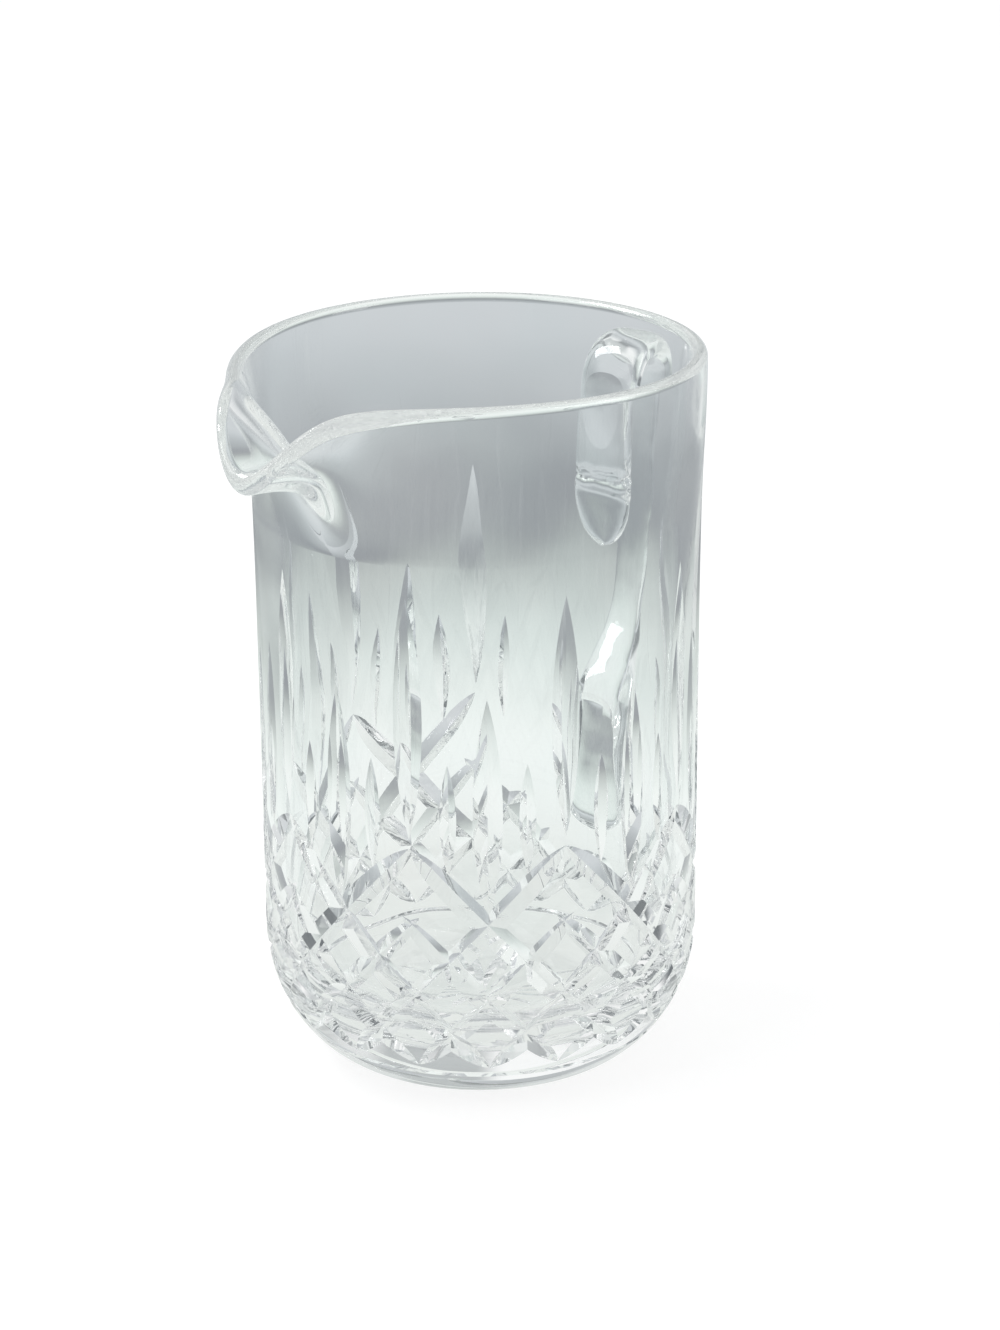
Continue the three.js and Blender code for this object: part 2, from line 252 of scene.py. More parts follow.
@dataclass(frozen=True)
class Skin:
    """The outer line of the body, foot to rim, before the lip is pulled."""

    height: float = 165.0
    radius: float = 49.6
    foot_radius: float = 28.9
    corner_height: float = 30.1
    foot_pull: float = 8.5
    wall_pull: float = 18.0
    flare_start: float = 102.0
    flare_reach: float = 1.1
    base_points: int = 80
    line_points: int = 400

    def outer(self, z: Numbers) -> Numbers:
        """Return the outer radius above the corner: R + f ((z - z0) / (h - z0))^2."""
        rise = np.maximum(0.0, z - self.flare_start) / (self.height - self.flare_start)
        return self.radius + self.flare_reach * rise**2

    def corner(self, count: int) -> np.ndarray:
        """Return r, z points of the round corner, a cubic Bezier from foot to wall."""
        points = [
            np.array([self.foot_radius, 0.0]),
            np.array([self.foot_radius + self.foot_pull, 0.0]),
            np.array([self.radius, self.corner_height - self.wall_pull]),
            np.array([self.radius, self.corner_height]),
        ]
        return bezier(points, np.linspace(0.0, 1.0, count)[:, None])

    def line(self) -> np.ndarray:
        """Return the whole line as dense r, z points from the axis to the rim."""
        r = np.linspace(0.0, self.foot_radius, self.base_points)
        base = columns(r, np.zeros_like(r))
        z = np.linspace(self.corner_height, self.height, self.line_points)
        wall = columns(self.outer(z), z)
        return np.vstack([base[:-1], self.corner(self.line_points)[:-1], wall])

    def place(self, angle: np.ndarray, run: np.ndarray) -> tuple[np.ndarray, np.ndarray]:
        """Return points and outward normals on the skin.

        Args:
            angle: Angles about Z, in radians.
            run: Distances along the line from the centre of the base.

        Returns:
            Points and unit normals, the line turned about Z by each angle.
        """
        line = self.line()
        runs = runs_along(line)
        slope = np.gradient(line, runs, axis=0)
        r, z, dr, dz = (np.interp(run, runs, column) for column in (*line.T, *slope.T))
        size = np.hypot(dr, dz)
        cos, sin = np.cos(angle), np.sin(angle)
        points = columns(r * cos, r * sin, z)
        normals = columns(dz * cos, dz * sin, -dr) / size[..., None]
        return points, normals

    def run_at(self, z: float) -> float:
        """Return the distance along the line at which it reaches a height."""
        line = self.line()
        above = line[:, 0] >= self.foot_radius
        return float(np.interp(z, line[above, 1], runs_along(line)[above]))


@dataclass(frozen=True)
class Lip:
    """The pouring lip: how the hot rim was pulled out and pressed down."""

    throat_start: float = 130.0
    beak_reach: float = 14.2
    beak_spread: float = 14.5
    beak_power: float = 8.0
    throat_reach: float = 13.0
    throat_spread: float = 36.0
    beak_drop: float = 12.8
    drop_spread: float = 8.0
    shoulder_rise: float = 2.1
    shoulder_spread: float = 50.0
    lean: float = 1.8
    thickening: float = 1.4
    thickening_spread: float = 18.0

    def beak(self, offset: np.ndarray) -> np.ndarray:
        """Return how far the narrow beak stands out at the rim."""
        return self.beak_reach * bell(offset, self.beak_spread)

    def throat(self, offset: np.ndarray) -> np.ndarray:
        """Return how far the wide throat below the beak stands out at the rim."""
        return self.throat_reach * bell(offset, self.throat_spread)

    def drop(self, offset: np.ndarray) -> np.ndarray:
        """Return how far the rim is pressed down, less the rise of the shoulders."""
        rise = self.shoulder_rise * bell(offset, self.shoulder_spread)
        return self.beak_drop * bell(offset, self.drop_spread) - rise


@dataclass(frozen=True)
class CrystalFinish:
    """Clear lead crystal, given by how its surface was made.

    The sway is the slow unevenness of glass shaped by hand, and the grain is the
    fine mark that polishing leaves, both as the size and height of a bump.
    """

    name: str
    tint: str
    tint_deep: str
    roughness: Pair
    sway: Pair
    grain: Pair
    grain_stretch: Triple = (1.0, 1.0, 1.0)
    tint_span: Pair = (0.3, 0.7)
    polish_span: Pair = (0.35, 0.75)
    ior: float = 1.54

    def material(self) -> Material:
        """Build the material: a refractive Principled surface with two bump scales.

        Returns:
            The new material.
        """
        made = bpy.data.materials.new(self.name)
        add = node_maker(made)
        place = add("TexCoord").outputs["Object"]
        sway_size, sway_height = (value * MM for value in self.sway)
        grain_size, grain_height = (value * MM for value in self.grain)
        sway = add("TexNoise", Vector=place, Scale=1.0 / sway_size, Detail=1.0, Roughness=0.4)
        stretched = add("Mapping", Vector=place, Scale=self.grain_stretch)
        grain = add(
            "TexNoise", Vector=stretched, Scale=1.0 / grain_size, Detail=3.0, Roughness=0.55,
        )
        low_bump = add("Bump", Distance=sway_height, Height=sway)
        high_bump = add("Bump", Distance=grain_height, Height=grain, Normal=low_bump)
        polish = add(
            "MapRange", Value=grain, From_Min=self.polish_span[0],
            From_Max=self.polish_span[1], To_Min=self.roughness[0], To_Max=self.roughness[1],
        )
        colour = add("ValToRGB", Fac=sway)
        tones = (self.tint_deep, self.tint)
        for element, position, code in zip(colour.color_ramp.elements, self.tint_span, tones):
            element.position, element.color = position, linear(code)
        shader = add(
            "BsdfPrincipled", Base_Color=colour, Roughness=polish, Normal=high_bump, IOR=self.ior,
        )
        shader.inputs["Transmission Weight"].default_value = 1.0
        add("OutputMaterial", Surface=shader)
        return made


# Blown and fire-polished: dead smooth, with the slow sway of hand work.
BLOWN = CrystalFinish(
    "blown_crystal", "#FFFFFF", "#FCFEFE", roughness=(0.0, 0.008), sway=(26.0, 0.3),
    grain=(3.4, 0.002),
)

# Ground with a mitre wheel and acid-polished: bright, with faint lines of the wheel.
CUT = CrystalFinish(
    "cut_crystal", "#FFFFFF", "#FDFEFE", roughness=(0.0, 0.01), sway=(12.0, 0.02),
    grain=(1.6, 0.0008), grain_stretch=(1.0, 1.0, 0.3),
)

# Drawn as a hot strap: fire-polished, with draw lines along it.
DRAWN = CrystalFinish(
    "drawn_crystal", "#FDFEFE", "#FAFDFC", roughness=(0.0, 0.015), sway=(11.0, 0.25),
    grain=(1.6, 0.006), grain_stretch=(1.0, 1.0, 0.2),
)


@dataclass
class Pattern:
    """The cutting: lancets over a diamond lattice, a ring and a star below."""

    skin: Skin
    repeats: int = 9
    side_angle: float = 55.0
    proud: float = 0.5
    lattice_top: float = 66.0
    lattice_bottom: float = 12.2
    lattice_steps: int = 3
    lattice_depth: float = 2.0
    cross_top: float = 50.0
    cross_depth: float = 1.7
    lancet_width: float = 6.8
    tall_lancet: Pair = (68.0, 123.0)
    middle_lancet: Pair = (49.0, 101.0)
    short_lancet: Pair = (60.0, 86.0)
    short_lancet_width: float = 3.8
    star_rays: int = 16
    star_side_angle: float = 60.0
    star_inner: float = 4.0
    star_outer: float = 26.5
    star_depth: float = 1.4
    panel_width: float = 50.0
    panel_height: float = 43.0
    panel_middle: float = 51.0
    shortest: float = 16.0
    lancet_fullness: float = 2.0
    lattice_fullness: float = 8.0
    cross_fullness: float = 6.0
    star_fullness: float = 2.5
    lancet_stations: int = 36
    lattice_stations: int = 48
    star_stations: int = 24
    thinnest: float = 1e-4

    @property
    def pitch(self) -> float:
        """Return the angle between two repeats, in radians."""
        return math.tau / self.repeats

    def groove(
        self, name: str, starts: np.ndarray, ends: np.ndarray, depth: float, side: float,
        fullness: float, stations: int,
    ) -> Object:
        """Make the solids that a V-shaped wheel takes away along straight runs.

        At share x from -1 to 1 of a run the wheel is depth (1 - |x|^fullness) deep,
        so each cut is deepest in its middle and pointed at both ends. The section
        is a V with its tip at that depth and its sides at the side angle.

        Args:
            name: The object's name.
            starts: Angle and run of each cut's start.
            ends: Angle and run of each cut's end.
            depth: Greatest depth.
            side: Angle between the normal and each side, in degrees.
            fullness: How long the cut keeps its depth.
            stations: Rings along a cut.

        Returns:
            One object that holds the separate closed solids.
        """
        past = (1.0 + self.proud / depth) ** (1.0 / fullness)
        x = past * np.sin(np.linspace(-math.pi / 2, math.pi / 2, stations + 1))
        share = (x[None, :, None] + 1.0) / 2.0
        path = starts[:, None, :] + (ends - starts)[:, None, :] * share
        points, normals = self.skin.place(path[..., 0], path[..., 1])
        sunk = (depth * (1.0 - np.abs(x) ** fullness))[None, :, None]
        across = unit(np.cross(normals, np.gradient(points, axis=1)))
        spread = math.tan(math.radians(side))
        rings = []
        for hand in (-1.0, 0.0, 1.0):
            deep = (sunk + self.proud) * (1.0 - abs(hand))
            half = np.maximum(sunk + self.proud, self.thinnest) * hand * spread
            rings.append(points + normals * (self.proud - deep) + across * half)
        rings = np.stack(rings, axis=2)
        vertices: list[np.ndarray] = []
        faces: list[list[int]] = []
        for cut in rings:
            base = sum(len(part) for part in vertices)
            part, part_faces = loft(cut, Ending.POINT, Ending.POINT)
            vertices.append(part)
            faces += [[base + v for v in face] for face in part_faces]
        return mesh_object(name, np.vstack(vertices), faces)

    def lancets(self) -> list[Object]:
        """Return the upright cuts: tall, short, middle, short, round the wall."""
        turns = np.arange(self.repeats) * self.pitch
        kinds = [
            (0.0, self.tall_lancet, self.lancet_width),
            (0.5, self.middle_lancet, self.lancet_width),
            (0.25, self.short_lancet, self.short_lancet_width),
            (-0.25, self.short_lancet, self.short_lancet_width),
        ]
        made = []
        for number, (share, (foot, tip), width) in enumerate(kinds):
            angle = turns + share * self.pitch
            around = np.arctan2(np.sin(angle), np.cos(angle))
            angle = angle[np.abs(around) * self.skin.radius > self.panel_width / 2.0]
            starts = columns(angle, np.full_like(angle, self.skin.run_at(foot)))
            ends = columns(angle, np.full_like(angle, self.skin.run_at(tip)))
            depth = width / 2.0 / math.tan(math.radians(self.side_angle))
            made.append(
                self.groove(
                    f"lancets_{number}", starts, ends, depth, self.side_angle,
                    self.lancet_fullness, self.lancet_stations,
                )
            )
        return made

    def lattice(self) -> list[Object]:
        """Return the slanting cuts: two deep families and two fine ones between."""
        low, high = self.skin.run_at(self.lattice_bottom), self.skin.run_at(self.lattice_top)
        cross = self.skin.run_at(self.cross_top)
        slope = self.pitch / 2.0 * self.lattice_steps / (high - low)
        turns = np.arange(self.repeats) * self.pitch
        made = []
        for way in (-1.0, 1.0):
            for fine in (False, True):
                tip = turns + (self.pitch / 2.0 if fine else 0.0)
                stop = cross if fine else high
                starts, ends = (
                    columns(tip - way * slope * (high - run), np.full_like(tip, run))
                    for run in (low, stop)
                )
                starts, ends = self.clear_of_panel(starts, ends)
                depth = self.cross_depth if fine else self.lattice_depth
                made.append(
                    self.groove(
                        f"lattice_{way:+.0f}_{fine}", starts, ends, depth, self.side_angle,
                        self.cross_fullness if fine else self.lattice_fullness,
                        self.lattice_stations,
                    )
                )
        return made

    def clear_of_panel(self, starts: np.ndarray, ends: np.ndarray) -> tuple[np.ndarray, np.ndarray]:
        """Split the slanting cuts where they meet the plain panel behind the handle.

        The panel is the ellipse x^2 + y^2 = 1, with x the angle over its half width
        and y the run from its middle over its half height. A cut x + s dx, y + s dy
        enters and leaves it at the two roots of a quadratic in s.

        Args:
            starts: Angle and run of each cut's start.
            ends: Angle and run of each cut's end.

        Returns:
            Starts and ends of the parts outside the panel.
        """
        kept: list[tuple[np.ndarray, np.ndarray]] = []
        half = np.array([self.panel_width / 2.0 / self.skin.radius, self.panel_height / 2.0])
        middle = np.array([0.0, self.skin.run_at(self.panel_middle)])
        for start, end in zip(starts, ends):
            turns = round((start[0] + end[0]) / 4.0 / math.pi) * 2.0 * math.pi
            near = (start - middle - [turns, 0.0]) / half
            step = (end - start) / half
            a, b = step @ step, near @ step
            inside = b * b - a * (near @ near - 1.0)
            root = math.sqrt(max(inside, 0.0))
            enter, leave = (-b - root) / a, (-b + root) / a
            if inside <= 0.0 or enter >= 1.0 or leave <= 0.0:
                kept.append((start, end))
                continue
            length = math.hypot((end[0] - start[0]) * self.skin.radius, end[1] - start[1])
            if enter * length > self.shortest:
                kept.append((start, start + (end - start) * enter))
            if (1.0 - leave) * length > self.shortest:
                kept.append((start + (end - start) * leave, end))
        return np.array([part[0] for part in kept]), np.array([part[1] for part in kept])

    def star(self) -> list[Object]:
        """Return the rays under the base, every other one in the same object."""
        made = []
        for first in (0, 1):
            angle = np.arange(first, self.star_rays, 2) * (math.tau / self.star_rays)
            starts = columns(angle, np.full_like(angle, self.star_inner))
            ends = columns(angle, np.full_like(angle, self.star_outer))
            made.append(
                self.groove(
                    f"star_{first}", starts, ends, self.star_depth, self.star_side_angle,
                    self.star_fullness, self.star_stations,
                )
            )
        return made


@dataclass
class Body:
    """The blown and cut body with its lip, as one closed mesh."""

    skin: Skin = field(default_factory=Skin)
    lip: Lip = field(default_factory=Lip)
    wall: float = 5.2
    rim_wall: float = 3.6
    thinning_start: float = 96.0
    base: float = 14.0
    floor_radius: float = 20.0
    inner_corner_top: float = 33.0
    floor_dish: float = 0.5
    ring_height: float = 9.7
    ring_depth: float = 0.7
    ripple: float = 0.07
    ripple_waves: tuple[Pair, ...] = ((7.0, 0.05), (11.0, -0.09))
    ripple_above: Pair = (6.0, 8.0)
    ripple_top: Pair = (130.0, 150.0)
    sharp_angle: float = 20.0
    skin_reach: float = 0.12
    flat_reach: float = 0.01
    beak_half: float = 29.5
    column_step: float = 1.0
    corner_rows: int = 34
    ring_clear: float = 0.3
    wall_rows: int = 8
    flare_rows: int = 6
    throat_rows: int = 36
    bead_rows: int = 14
    bowl_rows: int = 5
    bend_rows: int = 26
    floor_rows: int = 9

    def glass_at(self, z: Numbers) -> Numbers:
        """Return the wall's thickness, which thins evenly towards the rim."""
        rise = self.skin.height - self.thinning_start
        share = np.clip((z - self.thinning_start) / rise, 0.0, 1.0)
        return self.wall + (self.rim_wall - self.wall) * share

    def offsets(self) -> np.ndarray:
        """Return angles from the lip in degrees, twice as close across the beak."""
        step = self.column_step
        even = np.arange(-180.0, 180.0, step)
        between = np.arange(-self.beak_half, self.beak_half + step / 2.0, step)
        return np.sort(np.concatenate([even, between]))

    def foot_line(self) -> np.ndarray:
        """Return r, z points from the foot to the wall, with the ring cut in."""
        corner = self.skin.corner(self.corner_rows)
        run = self.skin.run_at(self.ring_height) + np.array([-1.0, 0.0, 1.0]) * self.ring_depth
        points, normals = self.skin.place(np.zeros(3), run)
        sunk = np.array([0.0, 1.0, 0.0])[:, None] * self.ring_depth
        ring = (points - normals * sunk)[:, [0, 2]]
        below = corner[corner[:, 1] < ring[0, 1] - self.ring_clear]
        above = corner[corner[:, 1] > ring[2, 1] + self.ring_clear]
        return np.vstack([below, ring, above])

    def wall_line(self) -> np.ndarray:
        """Return r, z points up the outer wall, from the corner to the throat."""
        low, middle = self.skin.corner_height, self.skin.flare_start
        straight = np.linspace(low, middle, self.wall_rows)[1:]
        flared = np.linspace(middle, self.lip.throat_start, self.flare_rows)[1:-1]
        z = np.concatenate([straight, flared])
        return columns(self.skin.outer(z), z)

    def bowl_line(self) -> np.ndarray:
        """Return r, z points down the inner wall, round the corner, to the floor.

        The wall and the corner are a straight line and a cubic Bezier, and the
        floor is a shallow dish z = base - dish (1 - (r / R)^2)^2.
        """
        inner = self.skin.radius - self.wall
        z = np.linspace(self.lip.throat_start, self.thinning_start, self.bowl_rows)[1:]
        upper = columns(self.skin.outer(z) - self.glass_at(z), z)
        z = np.linspace(self.thinning_start, self.inner_corner_top, self.bowl_rows)
        lower = columns(np.full_like(z, inner), z)
        points = [
            np.array([inner, self.inner_corner_top]),
            np.array([inner, self.base + (self.inner_corner_top - self.base) / 3.0]),
            np.array([(inner + self.floor_radius) / 2.0, self.base]),
            np.array([self.floor_radius, self.base]),
        ]
        bend = bezier(points, np.linspace(0.0, 1.0, self.bend_rows)[:, None])
        r = np.linspace(self.floor_radius, 0.0, self.floor_rows)[1:-1]
        dish = self.base - self.floor_dish * (1.0 - (r / self.floor_radius) ** 2) ** 2
        return np.vstack([upper, lower[1:], bend[1:], columns(r, dish)])

    def throat(self, offset: np.ndarray) -> np.ndarray:
        """Return r, z points of the throat and rim for each column.

        The middle of the glass is a cubic Bezier that starts along the wall and
        ends leaning out at the rim, and the beak adds b t^p to its radius at share
        t. Outer and inner skins lie half a thickness to each side of it, and the
        rim is a half circle about its end.

        Args:
            offset: Angles from the lip, in degrees.

        Returns:
            Array of row, column, r and z, up the outside and down the inside.
        """
        beak, reach = self.lip.beak(offset), self.lip.throat(offset)
        top = self.skin.height - self.rim_wall / 2.0 - self.lip.drop(offset)
        out = self.skin.outer(self.skin.height) - self.rim_wall / 2.0 + reach
        start_z = self.lip.throat_start
        start_r = self.skin.outer(start_z) - self.glass_at(start_z) / 2.0
        rise = top - start_z
        lean = self.lip.lean * np.arctan2(reach, rise)
        near = np.array([start_z - 0.5, start_z + 0.5])
        slope = np.diff(self.skin.outer(near) - self.glass_at(near) / 2.0)[0]
        start = columns(np.full_like(out, start_r), np.full_like(out, start_z))
        end = columns(out, top)
        pull = np.linalg.norm(end - start, axis=-1) / 3.0
        points = [
            start,
            start + columns(slope * rise / 3.0, rise / 3.0),
            end - pull[:, None] * columns(np.sin(lean), np.cos(lean)),
            end,
        ]
        t = np.sin(np.linspace(0.0, math.pi / 2.0, self.throat_rows))[:, None, None]
        middle, along = bezier(points, t), bezier_slope(points, t)
        power = self.lip.beak_power
        middle[..., 0] += beak * t[..., 0] ** power
        along[..., 0] += power * beak * t[..., 0] ** (power - 1.0)
        along = unit(along)
        side = columns(along[..., 1], -along[..., 0])
        thickening = self.lip.thickening * bell(offset, self.lip.thickening_spread)
        rim_half = (self.rim_wall + thickening) / 2.0
        start_half = self.glass_at(start_z) / 2.0
        half = (start_half + (rim_half - start_half)[None, :] * t[..., 0])[..., None]
        outer, inner = middle + side * half, (middle - side * half)[::-1]
        turn = np.linspace(0.0, math.pi, self.bead_rows)[1:-1][:, None, None]
        radius = rim_half[None, :, None]
        bead = middle[-1] + radius * (np.cos(turn) * side[-1] + np.sin(turn) * along[-1])
        return np.concatenate([outer, bead, inner])

    def blank(self) -> Object:
        """Make the uncut body from one grid of rows up, over and down each column.

        The inner skin carries a slow ripple a few hundredths of a millimetre deep,
        the sum of sin(na + kz) over its waves (n, k).

        Returns:
            The body as a closed mesh object.
        """
        offset = self.offsets()
        lower = np.vstack([self.foot_line(), self.wall_line()])
        throat = self.throat(offset)
        bowl = self.bowl_line()
        spread = np.ones((1, len(offset), 1))
        section = np.concatenate([lower[:, None, :] * spread, throat, bowl[:, None, :] * spread])
        angle = math.pi + np.radians(offset)[None, :]
        r, z = section[..., 0].copy(), section[..., 1]
        inside = len(lower) + len(throat) // 2
        high = z[inside:]
        above_base, above_corner = self.ripple_above
        fade = smooth(high, self.base + above_base, self.inner_corner_top + above_corner)
        fade = fade * (1.0 - smooth(high, *self.ripple_top))
        sway = sum(np.sin(turns * angle + climb * high) for turns, climb in self.ripple_waves)
        r[inside:] += self.ripple * fade * sway
        rings = columns(r * np.cos(angle), r * np.sin(angle), z)
        return mesh_object("body_glass", *loft(rings, Ending.FLAT, Ending.POINT))

    def set_normals(self, mesh: Mesh) -> None:
        """Give the outer skin its exact normals, so that cuts leave no dents in it.

        Args:
            mesh: The cut mesh, whose skin faces have material number 0.
        """
        mesh.set_sharp_from_angle(angle=math.radians(self.sharp_angle))
        normals = read_all(mesh.corner_normals, "vector", 3, float).reshape(-1, 3)
        vertex = read_all(mesh.loops, "vertex_index")
        place = read_all(mesh.vertices, "co", 3, float).reshape(-1, 3)[vertex] / MM
        starts = read_all(mesh.polygons, "loop_start")
        totals = read_all(mesh.polygons, "loop_total")
        finish = read_all(mesh.polygons, "material_index")
        owner = np.repeat(np.arange(len(totals)), totals)
        radius = np.hypot(place[:, 0], place[:, 1])
        line = self.skin.line()
        wall = line[line[:, 0] >= self.skin.foot_radius]
        slope = unit(np.gradient(wall, axis=0))
        z = place[:, 2]
        own_r, dr, dz = (np.interp(z, wall[:, 1], row) for row in (wall[:, 0], *slope.T))
        near = (np.abs(radius - own_r) < self.skin_reach) & (finish[owner] == 0)
        near &= (z > self.flat_reach) & (z < self.lip.throat_start + self.flat_reach)
        whole = np.minimum.reduceat(near.astype(np.int8), starts)[owner] > 0
        exact = columns(dz * place[:, 0] / radius, dz * place[:, 1] / radius, -dr)
        normals[whole] = exact[whole]
        mesh.normals_split_custom_set(normals.tolist())

    def build(self, pattern: Pattern) -> Object:
        """Blow the body, cut the pattern into it and polish it.

        Args:
            pattern: The cutting.

        Returns:
            The finished body.
        """
        body = self.blank()
        skin_finish, cut_finish = BLOWN.material(), CUT.material()
        body.data.materials.append(skin_finish)
        body.data.materials.append(cut_finish)
        cutters = pattern.lancets() + pattern.lattice() + pattern.star()
        for cutter in cutters:
            cutter.data.materials.append(skin_finish)
            cutter.data.materials.append(cut_finish)
            count = len(cutter.data.polygons)
            cutter.data.polygons.foreach_set("material_index", np.ones(count, dtype=np.int32))
            subtract(body, cutter)
        self.set_normals(body.data)
        return body


def subtract(piece: Object, cutter: Object) -> None:
    """Take one solid out of another and delete the one taken out.

    Args:
        piece: The object that is cut, whose mesh is replaced.
        cutter: The solid to take away.
    """
    modifier = piece.modifiers.new("cut", "BOOLEAN")
    modifier.operation = "DIFFERENCE"
    modifier.solver = "MANIFOLD"
    modifier.object = cutter
    graph = bpy.context.evaluated_depsgraph_get()
    result = bpy.data.meshes.new_from_object(piece.evaluated_get(graph), depsgraph=graph)
    piece.modifiers.clear()
    old = piece.data
    result.name = old.name + "_cut"
    piece.data = result
    bpy.data.meshes.remove(old)
    spare = cutter.data
    bpy.data.objects.remove(cutter)
    bpy.data.meshes.remove(spare)


@dataclass
class Strap:
    """The looped strap handle, from its lower seal over the crown to its tail."""

    skin: Skin = field(default_factory=Skin)
    embed: float = 0.8
    gap: float = 0.3
    width: float = 16.5
    thickness: float = 6.4
    reach: float = 25.0
    lower_seal: float = 51.0
    tail_tip: float = 106.0
    crimp_height: float = 121.0
    crown: float = 152.5
    root: tuple[Pair, ...] = (
        (-0.8, -15.0), (0.6, -7.0), (1.7, 1.0), (3.3, 9.0), (5.9, 16.0), (11.4, 22.0), (17.6, 29.0),
    )
    pad_swell: float = 6.9
    pad_middle: float = 25.5
    pad_spread: Pair = (16.3, 20.0)
    pad_length: float = 26.0
    pad_fade: float = 16.0
    pad_corner: float = 6.0
    pad_edge: float = 4.0
    pad_squareness: float = 5.0
    knee_sag: float = 1.2
    knee_rise: float = 38.5
    upright_shift: float = 12.0
    tail_thickness: float = 5.0
    tail_thinning: float = 21.0
    tail_widening: float = 1.6
    tongue_thickness: float = 3.2
    step_length: float = 3.5
    crimp_depth: float = 1.5
    crimp_spread: float = 0.7
    crimp_wander: float = 0.45
    second_dip: Pair = (0.5, 2.0)
    deepest_dip: float = 0.6
    wander_waves: tuple[Triple, ...] = ((1.3, 0.6, 1.0), (3.1, 0.0, 0.6))
    tip_shape: Pair = (1.6, 0.55)
    end_share: float = 0.003
    stations: int = 320
    sides: int = 56
    squareness: float = 2.8
    crown_points: int = 7
    curve_steps: int = 60
    core_foot: float = 20.0
    core_below_rim: float = 4.0
    core_rows: int = 60
    sharp_angle: float = 40.0

    def controls(self) -> np.ndarray:
        """Return the x, z points that the strap's middle line passes through."""
        outside = self.skin.radius + self.reach - self.thickness / 2.0
        tail = self.skin.outer(self.crimp_height) + self.gap + self.tail_thickness / 2.0
        turn = (outside - tail) / 2.0
        level = self.crown - turn
        foot = [[self.skin.radius + x, self.lower_seal + z] for x, z in self.root]
        foot += [
            [outside - self.knee_sag, self.lower_seal + self.knee_rise],
            [outside, (self.lower_seal + level) / 2.0 + self.upright_shift],
        ]
        angle = np.linspace(0.0, math.pi, self.crown_points)
        x, z = tail + turn * (1.0 + np.cos(angle)), level + turn * np.sin(angle)
        crown = columns(x, z)
        tongue = self.skin.outer(self.tail_tip) + self.gap + self.tongue_thickness / 2.0
        tail_end = [
            [tail, self.crimp_height],
            [tongue, self.crimp_height - self.step_length],
            [tongue, self.tail_tip],
        ]
        return np.vstack([foot, crown, tail_end])

    def middle_line(self) -> np.ndarray:
        """Return the middle line as evenly spaced x, z points.

        It is a centripetal Catmull-Rom curve: the slope at each point is blended
        from the square roots of the distances to its neighbours.

        Returns:
            Array of station, x and z.
        """
        p = self.controls()
        p = np.vstack([2 * p[0] - p[1], p, 2 * p[-1] - p[-2]])
        knot = np.sqrt(np.linalg.norm(np.diff(p, axis=0), axis=-1))[:, None]
        step = np.diff(p, axis=0) / knot
        slope = step[:-1] - (p[2:] - p[:-2]) / (knot[:-1] + knot[1:]) + step[1:]
        t = np.linspace(0.0, 1.0, self.curve_steps, endpoint=False)[None, :, None]
        start, end = p[1:-2, None], p[2:-1, None]
        first = (slope[:-1] * knot[1:-1])[:, None]
        last = (slope[1:] * knot[1:-1])[:, None]
        curve = (
            start + first * t + (3 * (end - start) - 2 * first - last) * t**2
            + (2 * (start - end) + first + last) * t**3
        )
        line = np.vstack([curve.reshape(-1, 2), p[-2]])
        runs = runs_along(line)
        even = np.linspace(0.0, runs[-1], self.stations)
        return columns(*(np.interp(even, runs, row) for row in line.T))

    def build(self) -> Object:
        """Draw the strap, seat it in the wall and polish it.

        Each ring is a superellipse |x|^n + |y|^n = 1 scaled to the strap's width
        and thickness there, and square to its line. The root is laid up the wall as
        a squarer, thicker pad with a round end, sqrt(1 - (1 - s / e)^2), the tail
        spreads and thins to a blunt tongue of width w (1 - s^p)^q, and the crimp is
        two narrow, wandering dips across it.

        Returns:
            The finished handle.
        """
        line = self.middle_line()
        from_root = runs_along(line)
        to_tip = from_root[-1] - from_root
        tongue = self.crimp_height - self.tail_tip
        laid = 1.0 - smooth(from_root, self.pad_length, self.pad_length + self.pad_fade)
        below, above = self.pad_spread
        spread = np.where(from_root < self.pad_middle, below, above)
        swell = self.pad_swell * bell(from_root - self.pad_middle, spread)
        corner, edge = (
            np.sqrt(np.maximum(1.0 - (1.0 - np.minimum(near, 1.0)) ** 2, self.end_share))
            for near in (from_root / end for end in (self.pad_corner, self.pad_edge))
        )
        thinning = 1.0 - smooth(to_tip, tongue, tongue + self.tail_thinning)
        past = 1.0 - np.minimum(to_tip / tongue, 1.0)
        thick = self.thickness + (self.tail_thickness - self.thickness) * thinning
        thinned = 1.0 - smooth(to_tip, tongue - self.step_length, tongue)
        thick = (thick + (self.tongue_thickness - thick) * thinned + swell) * edge
        first, last = self.tip_shape
        pointed = np.maximum(1.0 - past**first, self.end_share) ** last
        wide = (self.width + self.tail_widening * thinning) * pointed * corner
        along = unit(np.gradient(line, axis=0))
        turn = np.linspace(0.0, math.tau, self.sides, endpoint=False)
        cos, sin = np.cos(turn), np.sin(turn)
        square = self.squareness + (self.pad_squareness - self.squareness) * laid
        power = 2.0 / square[:, None]
        x = np.sign(cos) * np.abs(cos) ** power * wide[:, None] / 2.0
        y = np.sign(sin) * np.abs(sin) ** power * thick[:, None] / 2.0
        waves = (size * np.sin(turns * x + phase) for turns, phase, size in self.wander_waves)
        wander = self.crimp_wander * sum(waves)
        crimp = to_tip[:, None] - tongue
        share, apart = self.second_dip
        pressed = self.crimp_depth * bell(crimp + wander, self.crimp_spread)
        pressed += share * self.crimp_depth * bell(crimp - apart - wander, self.crimp_spread)
        y -= np.sign(y) * np.minimum(pressed / 2.0, np.abs(y) * self.deepest_dip)
        up = columns(-along[:, 1], along[:, 0])
        out, high = (line[:, n : n + 1] + up[:, n : n + 1] * y for n in (0, 1))
        rings = columns(out, x, high)
